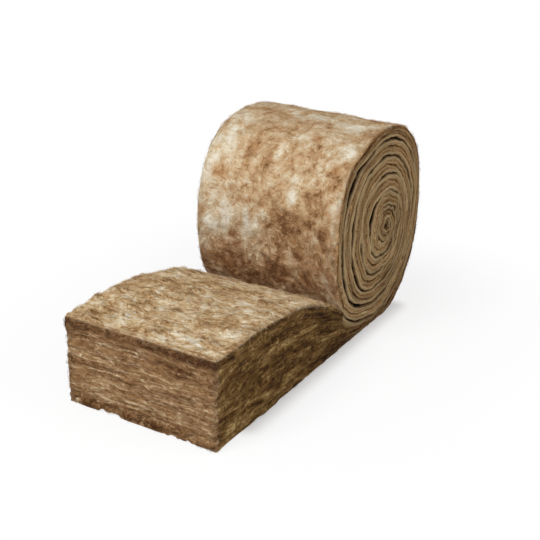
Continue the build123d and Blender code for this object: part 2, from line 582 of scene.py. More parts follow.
def wool_of_wrap(places, stations):
    """Wool coordinates (along, through) of the outline's places."""
    along = places[:, 0].copy()
    through = np.clip(places[:, 1], 0, blanket_thickness)
    roll = stations >= 3
    dense = np.linspace(crease_turn + 1, crease_turn, measuring_steps)
    along[roll] = np.interp(stations[roll], station_of_roll(dense), wound_length(dense))
    through[roll] = 0
    through[stations < 1] = blanket_thickness
    return along, through


def turn_of_wrap(stations):
    """The turn of each of the outline's places, where it is part of the roll."""
    dense = np.linspace(crease_turn + 1, crease_turn, measuring_steps)
    return np.interp(stations, station_of_roll(dense), dense)


def outward(grid):
    """Directions square to a closed grid of places, pointing outwards."""
    along = np.roll(grid, -1, axis=0) - np.roll(grid, 1, axis=0)
    across = np.gradient(grid, axis=1)
    square = np.cross(along, across)
    return square / np.linalg.norm(square, axis=-1, keepdims=True)


rows, stations, row_sorts = wrap_rows()
column_count = int(blanket_width / row_step) + 1
columns = np.linspace(-half_width + edge_cut, half_width - edge_cut, column_count)
wrap = np.stack(np.broadcast_arrays(
    free_end_x + rows[:, None, 0], columns[None, :], rows[:, None, 1]), axis=-1)
along, through = wool_of_wrap(rows, stations)
wrap_wool = np.stack(np.broadcast_arrays(
    along[:, None], columns[None, :], through[:, None]), axis=-1)

top_share = smooth(1.0, 0.98, stations) * smooth(0.0, 0.03, stations)
end_share = smooth(1.0, 1.03, stations) * smooth(2.0, 1.97, stations)
roll_share = smooth(3.02, 3.12, stations) * smooth(4.0, 3.97, stations)

broad = lumps(wrap, broad_size, 2, 3.7)
middling = lumps(wrap, middling_size, 3, 11.3)
small = lumps(wrap, small_size, 3, 5.9)
tufts = 0.5 - np.abs(lumps(wrap, tuft_size, 3, 8.1)) * 2
torn_tufts = 0.5 - np.abs(lumps(wrap, torn_tuft_size, 3, 28.1)) * 2
layers = lumps(wrap_wool, layer_size, 3, 2.3)
ledges = lumps(wrap_wool, ledge_size, 2, 7.7)

# On the free end: a hollow band beneath the top, a ragged foot and a browner near corner
height = wrap[..., 2] / blanket_thickness
band_height = height + band_waver_share * lumps(wrap_wool, band_waver_size, 3, 16.1)
beneath_top = smooth(0.82, 0.92, band_height) * smooth(0.99, 0.955, height)
beneath_top = beneath_top * (0.3 + 0.8 * smooth(-0.4, 0.4, middling + broad))
ragged_foot = smooth(0.20, 0.06, band_height)
near_corner = smooth(0.45, 0.85, band_height) * smooth(corner_from, corner_to, columns)[None, :]
browned = ragged_foot * (0.3 + 0.7 * smooth(0.4, -0.4, small)) + corner_brownness * near_corner

# Patches, pillows and folds
unfolded = [np.broadcast_to(axis, wrap.shape[:-1]) for axis in (along[:, None], columns[None, :])]
upper_share = roll_share + top_share
pale = spots(pale_patches, *unfolded) * upper_share[:, None]
brown = spots(brown_patches, *unfolded) * upper_share[:, None] + end_share[:, None] * browned
swelling = spots(swellings, *unfolded) * top_share[:, None]
pillows = pillow_swell(turn_of_wrap(stations)[:, None], columns[None, :]) * roll_share[:, None]
fold = fold_share(unfolded[0] + fold_waver * small, unfolded[1] + fold_waver * middling)
fold = fold * (0.4 + 0.6 * smooth(-0.4, 0.3, small + middling)) * roll_share[:, None]
kinds = {
    "broad": broad, "middling": middling, "small": small, "tufts": tufts,
    "torn_tufts": torn_tufts, "layers": layers, "ledges": ledges,
    "beneath_top": beneath_top, "pale": pale,
}


def raised(heights):
    """Relief summed over some kinds of lumps, each at its height."""
    return sum(height * kinds[kind] for kind, height in heights.items())


# The relief, the lifted foot, and how near each place is to a rim
relief = (
    swelling + pillows - fold_depth * fold
    + roll_share[:, None] * raised(roll_heights)
    + top_share[:, None] * raised(top_heights)
    + end_share[:, None] * (raised(end_heights) + ragged_foot * raised(foot_heights))
)
to_rim = (half_width - np.abs(columns))[None, :]
to_foot = np.hypot(rows[:, 0], rows[:, 1])[:, None]
lifted = np.exp(-(to_foot / foot_reach) ** 2) * smooth(0, rim_reach * 2, to_rim)
lifted = lifted * smooth(0.0, 0.8, small + 0.6 * middling)
wrap = wrap + outward(wrap) * relief[..., None]
wrap[..., 2] += foot_lift * lifted
wrap[..., 2] = np.maximum(wrap[..., 2], 0)
# Painted shade: darker in the crease at the nip, in the hollows of the torn top and in the folds
crease_shade = smooth(0.035, 0.0, stations) + smooth(3.975, 4.0, stations)
hollow = hollow_painted_shade * top_share[:, None] * smooth(-0.3, -0.8, small + torn_tufts)
dark = hollow + fold * fold_painted_shade + crease_shade[:, None]
marks_and_shade = np.stack([pale, dark, brown], axis=-1)
across_way = np.array([0.0, 1.0, 0.0])
to_end_rim = np.hypot(rows[:, 0], blanket_thickness - rows[:, 1])[:, None]
on_rim = np.exp(-(to_rim / rim_reach) ** 2)
on_rim = np.maximum(on_rim, end_rim_share * np.exp(-(to_end_rim / rim_reach) ** 2))
on_rim = on_rim * (smooth(2.0, 1.9, stations) + smooth(3.05, 3.15, stations))[:, None]
numbers = surface.add(wrap, row_sorts[:, None, :], marks_and_shade, across_way, on_rim)
closed = np.concatenate([numbers, numbers[:1]])
closed_wool = np.concatenate([wrap_wool, wrap_wool[:1]])
closed_wool[-1, :, 0] = wound_length(crease_turn)
closed_wool[-1, :, 2] = 0
surface.grid(closed, closed_wool)
closed_stations = np.append(stations, 4.0)

# The cut faces: the tail's two sides and the roll's two ends


def at_side(side, sections, inward):
    """Places on one side of the blanket from section places and depths below the cut."""
    y = side * (half_width - inward)
    return np.stack([free_end_x + sections[..., 0], y, sections[..., 1]], axis=-1)


def way_along(sections):
    """The way that section places follow each other, in three dimensions."""
    steps = np.gradient(sections, axis=0)
    return np.stack([steps[..., 0], steps[..., 0] * 0, steps[..., 1]], axis=-1)


def layer_coordinate(along, share):
    """Height among the wool's layers: fewer of them are told apart once they are wound."""
    wound_share = smooth(nip[0] - winding_lead, nip[0] + winding_length, along)
    return share * blanket_thickness * (1 - (1 - wound_layer_share) * wound_share)


def wool_of_side(side, along, share):
    """Wool coordinates of places on one side, from lengths and shares of the thickness."""
    across = np.full(along.shape, side * half_width)
    return np.stack([along, across, layer_coordinate(along, share)], axis=-1)


def seam_share(along):
    """Where the seam in a wound turn lies, as a share of the turn's thickness."""
    return 0.5 + sum(height * np.sin(along * often) for height, often in seam_waver)


def cut_relief(wool, side):
    """How far a cut face lies below or above its plane."""
    return sum(height * lumps(wool, size, octaves, shift + side)
               for height, size, octaves, shift in cut_lumps)


def slit_offset(turn, side):
    """How far a slit lies outside the even spiral."""
    wander = turn_wander * lumps(round_the_eye(turn, 3), turn_wander_size, 3, 30.0 + side)
    fade = smooth(crease_turn, crease_turn - 0.15, turn) * smooth(-1.0, 0.6, turn)
    beside_gape = facing(turn, gaping_angle) ** 2
    thinned = gape_lift * beside_gape * np.clip(turn / nip_turn, 0, 1) ** gaping_power
    lifted = settled_share * loose_lift * looseness(turn)
    return (lifted + thinned + wander * (1 - steadied_share * beside_gape)) * fade


def half_slit(turn, side, wall):
    """Half the slit's width, rougher than even, for one of its two walls."""
    shift = 40.0 + side + 5 * wall
    rough = slit_wander * lumps(round_the_eye(turn), slit_wander_size, 4, shift)
    gaping = smooth(0, loose_start_share, nip_turn - turn) * facing(turn, gaping_angle)
    width = slit_width + loose_slit_width * gaping * np.clip(turn / nip_turn, 0, 1) ** gaping_power
    return np.clip(width / 2 + rough, least_slit_width / 2, None) * smooth(-1.2, 0.2, turn)


def turn_rows(stops, per_turn):
    """Turns from the first stop to the last, meeting each stop between."""
    parts = [np.array([stops[0]])]
    for first, last in zip(stops, stops[1:]):
        parts.append(np.linspace(first, last, int(round((first - last) * per_turn)) + 1)[1:])
    return np.concatenate(parts)


def build_side(side):
    """One cut side of the blanket, joined to the wrap's rim on that side."""
    rim = 0 if side < 0 else -1

    # Tail
    crease = on_spiral(np.float64(crease_turn))
    x_count = int(round(crease[0] / row_step))
    x_line = np.linspace(edge_cut, crease[0] - row_step, x_count)
    share_line = np.linspace(0, 1, int(round(blanket_thickness / side_layer_step)))
    high = tail_top(x_line) - edge_cut
    z = edge_cut + (high - edge_cut)[:, None] * share_line[None, :]
    sections = np.stack([np.broadcast_to(x_line[:, None], z.shape), z], axis=-1)
    tail_wool = wool_of_side(side, sections[..., 0], np.broadcast_to(share_line[None, :], z.shape))
    inward = cut_relief(tail_wool, side)
    # Painted shade where the cut side lies deeper
    tail_marks = np.zeros(z.shape + (3,))
    tail_marks[..., 1] = smooth(hollow_from, hollow_to, inward) * hollow_painted_shade
    tail_way = np.array([1.0, 0.0, 0.0])
    tail = surface.add(at_side(side, sections, inward), sawn, tail_marks, tail_way)
    surface.grid(tail, tail_wool)

    # The slit's floor, from the crease to the eye
    fine = turn_rows([crease_turn, coarse_from_turn, coarse_from_turn - 1], fine_rows_per_turn)
    coarse = turn_rows([coarse_from_turn - 1, 0], coarse_rows_per_turn)
    eye = turn_rows([0, -1], eye_steps)
    floor_turns = np.concatenate([fine, coarse[1:], eye[1:]])
    floor_sections = on_spiral(floor_turns, slit_offset(floor_turns, side))
    depth = slit_depth * smooth(crease_turn, crease_turn - slit_start_turns, floor_turns)
    depth = depth + (eye_depth - depth) * smooth(1.0, 0.0, floor_turns)
    # Painted shadow along the slit's floor, darkest where the slit gapes open
    floor_marks = np.zeros((len(floor_turns), 3))
    open_share = facing(floor_turns, open_angle) ** 2
    darkness = closed_slit_painted_shadow + (slit_painted_shadow - closed_slit_painted_shadow) * open_share
    floor_marks[:, 1] = darkness * smooth(-0.5, 1.2, floor_turns)
    slit_way = way_along(floor_sections)
    slit = surface.add(at_side(side, floor_sections, depth), sawn, floor_marks, slit_way)

    def slit_line(first, last, wool_share):
        """Part of the slit's floor as a line for zipping, with a turn's inner or outer wool."""
        chosen = floor_turns <= first + turn_tolerance
        chosen = chosen & (floor_turns >= last - turn_tolerance)
        turn = floor_turns[chosen]
        wool = wool_of_side(side, wound_length(turn + wool_share), wool_share)
        return slit[chosen], wool, -turn

    # The wound turns
    shares = np.linspace(0, 1, columns_per_turn + 1)
    shares = shares - crowding_share * np.sin(full_circle * shares) / full_circle
    kept_row = None
    strips = []
    for stops, per_turn in (
        ([crease_turn + 1, crease_turn, coarse_from_turn], fine_rows_per_turn),
        ([coarse_from_turn, 0], coarse_rows_per_turn),
    ):
        first, last = stops[0], stops[-1]
        turn = turn_rows(stops, per_turn)
        outer_first = turn > crease_turn
        outer = on_spiral(turn, slit_offset(turn, side))
        outer[outer_first] = outer_face(turn[outer_first])
        inner = on_spiral(turn - 1, slit_offset(turn - 1, side))
        way = inner - outer
        thick = np.linalg.norm(way, axis=-1)
        gap_out = np.where(outer_first, edge_cut, half_slit(turn, side, 0))
        gap_in = half_slit(turn - 1, side, 1)
        gap_share = (gap_out + gap_in) / thick
        gaps = np.clip(gap_share, 0, largest_gap_share) / gap_share
        gap_out, gap_in = gap_out * gaps, gap_in * gaps
        place = gap_out[:, None] + (thick - gap_out - gap_in)[:, None] * shares[None, :]
        fraction = place / thick[:, None]
        sections = outer[:, None, :] + way[:, None, :] * fraction[..., None]
        along = np.broadcast_to(wound_length(turn)[:, None], fraction.shape)
        through = np.broadcast_to(shares[None, :], fraction.shape)
        wool = wool_of_side(side, along, through)
        crown = np.sin(math.pi * np.clip(through, 0.001, 0.999)) ** lip_roundness
        on_rim = outer_first[:, None] & (through < 0.5)
        lip = np.where(on_rim, 0, lip_draw * (1 - crown))
        reach = turn_reach * lumps(round_the_eye(turn), turn_reach_size, 2, 50.0 + side)
        reach = reach * smooth(6.3, 5.9, turn)
        seam = np.exp(-((through - seam_share(along)) / seam_width_share) ** 2)
        seam = seam * smooth(6.5, 6.2, turn)[:, None]
        inward = cut_relief(wool, side) * wound_relief_share + lip + reach[:, None]
        inward = inward + seam_depth * seam
        # Painted highlights on the rounded lips of the turns, and painted shade at the slits' edges
        strip_marks = np.zeros(fraction.shape + (3,))
        to_slit = np.where(outer_first[:, None], 1 - through, np.minimum(through, 1 - through))
        lips = np.exp(-((to_slit - lip_share) / lip_share) ** 2)
        strip_marks[..., 0] = lip_painted_highlight * lips
        strip_marks[..., 1] = lip_edge_painted_shade * np.exp(-(to_slit / (lip_share / 2)) ** 2)
        places = at_side(side, sections, inward)
        places[..., 2] = np.maximum(places[..., 2], floor_clearance)
        strip_way = way_along(sections)
        if kept_row is None:
            numbers = surface.add(places, sawn, strip_marks, strip_way)
        else:
            added = surface.add(places[1:], sawn, strip_marks[1:], strip_way[1:])
            numbers = np.concatenate([kept_row[None, :], added])
        kept_row = numbers[-1]
        surface.grid(numbers, wool)
        strips.append((turn, numbers, wool))
        inside = turn <= crease_turn + turn_tolerance
        if inside.any():
            column = (numbers[inside, 0], wool[inside, 0], -turn[inside])
            surface.zip(column, slit_line(min(first, crease_turn), last, 0))
        column = (numbers[:, -1], wool[:, -1], 1 - turn)
        surface.zip(column, slit_line(first - 1, last - 1, 1))

    # Tail to turns, below the crease
    turn, numbers, wool = strips[0]
    surface.zip((tail[-1], tail_wool[-1], share_line), (numbers[0], wool[0], shares))

    # The eye
    last_numbers, last_wool = strips[1][1:]
    ring_numbers, ring_wool = slit_line(0, -1, 0)[:2]
    spoke = [ring_numbers[0], *last_numbers[-1], ring_numbers[-1]]
    spoke_wool = [ring_wool[0], *last_wool[-1], last_wool[-1][-1]]
    for here, there, wool_here, wool_there in zip(spoke, spoke[1:], spoke_wool, spoke_wool[1:]):
        surface.faces.append([int(here), int(there), int(ring_numbers[1])])
        surface.corners.append([list(wool_here), list(wool_there), list(ring_wool[1])])
    for k in range(1, len(ring_numbers) - 2):
        three = (-1, k, k + 1)
        surface.faces.append([int(ring_numbers[place]) for place in three])
        surface.corners.append([list(ring_wool[place]) for place in three])

    # The rim
    skin = turn >= crease_turn - turn_tolerance
    loop = [slit[0], numbers[0, -1], *tail[::-1, -1], *tail[0, ::-1][1:], *tail[1:, 0],
            *numbers[skin, 0], slit[0]]
    top_stations = 1 - (x_line[::-1] - edge_cut) / (crease[0] - edge_cut)
    loop_stations = np.concatenate([
        [0, slit_station], top_stations, 1 + (1 - share_line[::-1][1:]),
        2 + x_line[1:] / (tail_length + flat_behind_middle), station_of_roll(turn[skin]), [4.0]])
    loop_wool = np.concatenate([
        wool[:1, -1], wool[:1, -1], tail_wool[::-1, -1], tail_wool[0, ::-1][1:], tail_wool[1:, 0],
        wool[skin, 0], wool[skin, 0][-1:]])
    rim_line = (closed[:, rim], closed_wool[:, rim], closed_stations)
    surface.zip(rim_line, (loop, loop_wool, loop_stations))


for side in (-1, 1):
    build_side(side)

blanket = bpy.data.objects.new("wool_blanket_dressed", surface.mesh("wool_blanket_dressed"))
bpy.context.scene.collection.objects.link(blanket)

# Materials


class Wire:
    """An output in a node tree. Arithmetic on it adds Math nodes."""

    def __init__(self, tree, socket):
        self.tree = tree
        self.socket = socket

    def sum(self, operation, *values):
        return add_node(self.tree, "ShaderNodeMath", {"operation": operation},
                        dict(enumerate(values)))

    def __add__(self, other):
        return self.sum("ADD", self, other)

    __radd__ = __add__

    def __sub__(self, other):
        return self.sum("SUBTRACT", self, other)

    def __rsub__(self, other):
        return self.sum("SUBTRACT", other, self)

    def __mul__(self, other):
        return self.sum("MULTIPLY", self, other)

    __rmul__ = __mul__

    def __pow__(self, other):
        return self.sum("POWER", self, other)

    def __abs__(self):
        return self.sum("ABSOLUTE", self)

    def clamped(self):
        return self.sum("MINIMUM", self.sum("MAXIMUM", self, 0.0), 1.0)


def add_node(tree, kind, settings=None, sockets=None, output=0):
    """Adds a node with its settings, then its sockets' values or links; gives one output."""
    node = tree.nodes.new(kind)
    for name, value in (settings or {}).items():
        setattr(node, name, value)
    for name, value in (sockets or {}).items():
        if isinstance(value, Wire):
            tree.links.new(value.socket, node.inputs[name])
        else:
            node.inputs[name].default_value = value
    return Wire(tree, node.outputs[output])


def colour(text):
    """A colour written as on a screen, as the renderer wants it."""
    shares = [int(text[i:i + 2], 16) / 255 for i in (0, 2, 4)]
    linear = [s / 12.92 if s <= 0.04045 else ((s + 0.055) / 1.055) ** 2.4 for s in shares]
    return (*linear, 1.0)


def colours(*texts):
    """A row of colours, from the darkest hollow to the palest strand."""
    return [colour(text) for text in texts]


def mix(tree, share, first, second):
    """A colour between two, by a share."""
    return add_node(tree, "ShaderNodeMix", {"data_type": "RGBA"},
                    {0: share, 6: first, 7: second}, output=2)


def ease(value, low, high):
    """From 0 to 1 as a shader value goes from low to high, eased."""
    return add_node(value.tree, "ShaderNodeMapRange", {"interpolation_type": "SMOOTHSTEP"},
                    {0: value, 1: low, 2: high, 3: 0.0, 4: 1.0})


def stretched(tree, place, scales, shift):
    """A place scaled along each axis and moved, for a pattern of its own."""
    moved = add_node(tree, "ShaderNodeVectorMath", {"operation": "MULTIPLY"}, {0: place, 1: scales})
    return add_node(tree, "ShaderNodeVectorMath", {"operation": "ADD"},
                    {0: moved, 1: (shift, shift, shift)})


def cloud(tree, place, scales, shift, detail, distortion=0.0, rough=0.55):
    """Noise from 0 to 1 on a stretched place."""
    return add_node(tree, "ShaderNodeTexNoise", None, {
        "Vector": stretched(tree, place, scales, shift), "Scale": 1.0, "Detail": detail,
        "Roughness": rough, "Distortion": distortion})


def strands(tree, place, scales, shift, distortion, sharpness):
    """Thin lines that wind through a place, from 0 to 1."""
    ridge = 1 - abs(cloud(tree, place, scales, shift, 2.0, distortion) * 2 - 1)
    return ridge.clamped() ** sharpness


def combed(tree, place, scales, angles, shift, axis="Z_AXIS"):
    """Noise about nothing, drawn out in clumps that each lie one of three ways."""
    ways = []
    for number, angle in enumerate(angles):
        turned = add_node(tree, "ShaderNodeVectorRotate", {"rotation_type": axis},
                          {"Vector": place, "Angle": angle})
        ways.append(cloud(tree, turned, scales, shift + 7.0 * number, 4.0, 0.4, 0.62))
    region = cloud(tree, place, (26.0, 26.0, 26.0), shift + 31.0, 3.0, 1.2)
    first, second, third = ways
    found = first + (second - first) * ease(region, 0.40, 0.48)
    return found + (third - found) * ease(region, 0.52, 0.60) - 0.5


def ramp(tree, tone, row):
    """A colour that passes evenly through a row of colours as a tone goes from 0 to 1."""
    found = row[0]
    steps = len(row) - 1
    for number in range(steps):
        share = ease(tone, number / steps, (number + 1) / steps)
        found = mix(tree, share, found, row[number + 1])
    return found


# Colours of the skin, the torn top, and the cut sides, free end and turns of the roll
skin_colours = colours("6e4c2f", "a8825b", "c6a984", "d9caae", "e6decd")
top_colours = colours("6e4c2c", "a07b51", "c4a378", "ddc8a2", "f2ead8")
side_colours = colours("1f1209", "452c14", "694b25", "8f7044", "bfa26c")
end_colours = colours("4a2f1a", "6f4f32", "8f6d4a", "ab8b66", "d6c09a")
turn_colours = colours("3c210c", "6d4723", "936a3f", "b38b5c", "dcc194")
warm_colour = colour("b5824e")
# Partly browner wool and partly painted shade where the roll's skin turns down into the nip
nip_brown_shade_colour = colour("6d4830")
thread_colour = colour("dcc8a4")
# Painted highlight on the rounded lips of the turns beside the slits
lip_highlight_colour = colour("dec495")
# Painted highlight on the lips beside each seam, and painted shade in the seams and pits
seam_lip_highlight_colour = colour("d1b382")
seam_shade_colour = colour("3a210c")
pale_fibre_colour = colour("eadbb9")
dark_fibre_colour = colour("6b4a28")
# Painted shade for hollows, creases, folds and slit edges, and painted shadow deep in the slits
painted_shade_colour = colour("432a13")
slit_shadow_colour = colour("160902")

# How pale each kind of face is, from 0 to 1 along its row of colours
skin_level = 0.525
top_level = 0.61
cut_level = 0.48

# Lengths along the blanket between which it turns browner and darker with painted shade towards the
# nip, or counts as wound
browner_and_shaded_from = 1.72
browner_and_shaded_by = 2.02
end_reach = 0.012
wound_from = 0.50
wound_by = 0.72

# The darker band under the free end's top edge, the patterns that its foot wavers with,
# how far the layers wave, and how high the finest relief stands
# The band under the top edge is darkened partly as a painted shadow of that edge
edge_band_low = 0.183
edge_band_high = 0.189
clot_waver = 0.035
shade_waver = 0.030
slant_waver = 0.020
layer_wave = 0.020
bump_height = 0.007


def wool_material(name, loose):
    """Mineral wool: felted on the roll, torn on the tail's top, in layers where it is cut.

    The scales say how often a pattern comes back in a metre along, across and through the wool.
    """
    material = bpy.data.materials.new(name)
    material.use_nodes = True
    tree = material.node_tree
    shader = tree.nodes["Principled BSDF"]

    def reading(attribute, output=1):
        return add_node(tree, "ShaderNodeAttribute", {"attribute_name": attribute}, None, output)

    def split(vector):
        node = tree.nodes.new("ShaderNodeSeparateXYZ")
        tree.links.new(vector.socket, node.inputs[0])
        return [Wire(tree, output) for output in node.outputs]

    wool = reading("wool")
    tear, saw = split(reading("sort"))[1:]
    pale_and_highlight_mark, shade_mark, brown_mark = split(reading("marks_and_shade"))
    length, through = split(wool)[::2]

    # Felted skin of the roll, browner and darker towards the nip, partly painted shade where the
    # skin turns down into the nip
    patches = cloud(tree, wool, (6.0, 8.0, 6.0), 1.0, 4.0, 1.4) - 0.5
    blots = cloud(tree, wool, (13.0, 17.0, 13.0), 5.0, 5.0, 1.8, 0.55) - 0.5
    tufts = combed(tree, wool, (20.0, 60.0, 40.0), (0.4, 1.5, 2.6), 9.0)
    hairs = combed(tree, wool, (50.0, 260.0, 200.0), (0.1, 1.2, 2.2), 12.0)
    fuzz = cloud(tree, wool, (420.0, 420.0, 420.0), 17.0, 2.0) - 0.5
    warm = cloud(tree, wool, (16.0, 14.0, 16.0), 19.0, 4.0, 1.0, 0.6) - 0.5
    nip_brown_and_shade = ease(length, browner_and_shaded_from, browner_and_shaded_by)
    # Thin dark lines: painted shade in fine creases of the felt
    creases = strands(tree, wool, (9.0, 11.0, 9.0), 43.0, 1.6, 40.0)
    skin_tone = (
        skin_level + patches * 0.75 + blots * 1.1 + tufts * 1.1 + hairs * 0.85 + fuzz * 0.4
        + pale_and_highlight_mark * 0.35 - brown_mark * 0.25 - nip_brown_and_shade * 0.11 - creases * 0.20
    )
    skin = ramp(tree, skin_tone, skin_colours)
    warmed = ease(warm + tufts * 0.5 + brown_mark * 0.05, 0.02, 0.22)
    skin = mix(tree, warmed * 0.36, skin, warm_colour)
    skin = mix(tree, nip_brown_and_shade * (0.40 - tufts * 1.5 - blots), skin, nip_brown_shade_colour)

    # Torn top of the tail, its strands laid across
    tears = cloud(tree, wool, (17.0, 11.0, 10.0), 13.0, 5.0, 1.2) - 0.5
    clumps = combed(tree, wool, (60.0, 23.0, 44.0), (-0.5, 0.1, 0.6), 15.0)
    strips = combed(tree, wool, (260.0, 70.0, 160.0), (0.5, -0.2, -0.8), 45.0)
    # Painted shade in the thin gaps between torn tufts, and painted highlights on thin ridges
    gaps = strands(tree, wool, (42.0, 24.0, 30.0), 47.0, 1.4, 16.0)
    ridges = strands(tree, wool, (50.0, 26.0, 30.0), 49.0, 1.6, 14.0)
    top_tone = (
        top_level + tears * 1.35 + clumps * 1.6 + strips * 1.25 + fuzz * 0.4
        + pale_and_highlight_mark * 0.22 - brown_mark * 0.20 - gaps * 0.45 + ridges * 0.20
    )
    top = ramp(tree, top_tone, top_colours)

    # Layers on the cut faces, slanting in clumps on the tail's sides
    on_end = ease(length, end_reach, 0.0)
    wound = ease(length, wound_from, wound_by)
    on_side = (1 - on_end) * (1 - wound)
    waved = cloud(tree, wool, (11.0, 9.0, 11.0), 21.0, 3.0) - 0.5
    lift = add_node(tree, "ShaderNodeCombineXYZ", None, {2: waved * layer_wave})
    cut_place = add_node(tree, "ShaderNodeVectorMath", {"operation": "ADD"}, {0: wool, 1: lift})
    bands = cloud(tree, cut_place, (2.5, 3.0, 45.0), 25.0, 3.0, 0.0, 0.6) - 0.5
    layers = cloud(tree, cut_place, (14.0, 16.0, 170.0), 27.0, 4.0, 0.2, 0.62) - 0.5
    slants = combed(tree, wool, (13.0, 40.0, 70.0), (0.22, -0.15, 0.60), 33.0, "Y_AXIS")
    shades = cloud(tree, wool, (8.0, 12.0, 20.0), 37.0, 3.0, 1.0) - 0.5
    clots = cloud(tree, cut_place, (75.0, 65.0, 130.0), 39.0, 4.0, 0.8, 0.62) - 0.5
    grain = cloud(tree, wool, (330.0, 330.0, 400.0), 31.0, 2.0, 0.5) - 0.5
    threads = strands(tree, cut_place, (4.0, 5.0, 50.0), 35.0, 0.2, 34.0)
    # A darker band under the free end's top edge, partly painted shadow under the edge
    under_edge = through + clots * clot_waver + shades * shade_waver + slants * slant_waver
    under_edge = ease(under_edge, edge_band_low, edge_band_high) * on_end
    cut_tone = (
        cut_level - on_end * 0.04 - wound * 0.07
        + bands * (1.1 + wound * 0.8) + layers * (0.9 + wound * 0.4)
        + clots * (1.3 - on_side * 0.5 + wound * 0.5) + grain * (0.7 - on_side * 0.2 + wound * 0.6)
        + slants * on_side * 1.5 + shades * (on_side * 0.9 + wound * 1.1)
        - brown_mark * 0.30 - under_edge * (0.26 + shades * 0.8)
    )

    def by_place(side, end, turn):
        """One colour on the tail's sides, one on its end and one on the ends of the roll."""
        return mix(tree, wound, mix(tree, on_end, side, end), turn)

    cut_colours = [by_place(*row) for row in zip(side_colours, end_colours, turn_colours)]
    cut = ramp(tree, cut_tone, cut_colours)
    threads = threads * on_end * (0.4 - brown_mark - under_edge + clots * 3.0)
    cut = mix(tree, threads.clamped(), cut, thread_colour)

    final = mix(tree, tear, skin, top)
    final = mix(tree, saw, final, cut)
    # Painted highlight on the lips of the turns; elsewhere the pale marks are paler wool
    lip = (pale_and_highlight_mark * saw * (0.7 - clots * 2.0)).clamped()
    final = mix(tree, lip, final, lip_highlight_colour)

    # A seam runs along the middle of each wound turn, painted dark with shade like the slits beside
    # it, with painted highlights on its lips and painted shade in small pits
    waver = sum(height * length.sum("SINE", length * often) for height, often in seam_waver)
    from_seam = abs(through * (1 / wound_layers) - waver - 0.5) + clots * 0.10
    on_turns = wound * saw
    seam = (1 - ease(from_seam, 0.0, seam_width_share)) * on_turns
    beside = (1 - ease(abs(from_seam - lip_share * 1.2), 0.0, lip_share)) * on_turns
    pits = (1 - ease(clots, -0.21, -0.12)) * on_turns
    final = mix(tree, beside * (0.5 - clots * 1.5), final, seam_lip_highlight_colour)
    final = mix(tree, (seam * (0.70 + clots * 5.0)).clamped(), final, seam_shade_colour)
    final = mix(tree, pits * 0.6, final, seam_shade_colour)
    if loose:
        tone = reading("tone", 2)
        final = mix(tree, ease(tone, 0.5, 1.0) * 0.35, final, pale_fibre_colour)
        final = mix(tree, ease(tone, 0.5, 0.0) * 0.12, final, dark_fibre_colour)
    # Painted shade from the marks: hollows, creases, folds and slit edges, and painted shadow deep
    # in the slits
    final = mix(tree, (shade_mark * 0.9).clamped(), final, painted_shade_colour)
    final = mix(tree, ease(shade_mark, 0.62, 1.0), final, slit_shadow_colour)
    tree.links.new(final.socket, shader.inputs["Base Color"])
    shader.inputs["Roughness"].default_value = 1.0
    shader.inputs["Specular IOR Level"].default_value = 0.1

    if not loose:
        height = (
            (tufts * 0.9 + hairs * 0.7 + fuzz * 0.3 + blots * 0.6) * (1 - tear) * (1 - saw)
            + tear * (clumps * 1.3 + strips * 0.9 + fuzz * 0.3)
            + saw * (layers * 0.7 + clots * 1.1 + grain * 0.5 + slants * on_side * 0.9 - seam * 0.3)
        )
        bump = add_node(tree, "ShaderNodeBump", None,
                        {"Strength": 1.0, "Distance": bump_height, "Height": height})
        tree.links.new(bump.socket, shader.inputs["Normal"])
    return material


# Loose fibres on the wool. Bends and thin ends are shares of a fibre's length and thickness,
# and fewer fibres stand where the wool is marked with painted shade.

dark_thinning = 1.6
fibre_stops = 4
bow_share = 0.12
lean_share = 0.10
thin_end_share = 0.15
wave_scale = 70.0
fibre_clearance = 0.0004
far_off = 100.0


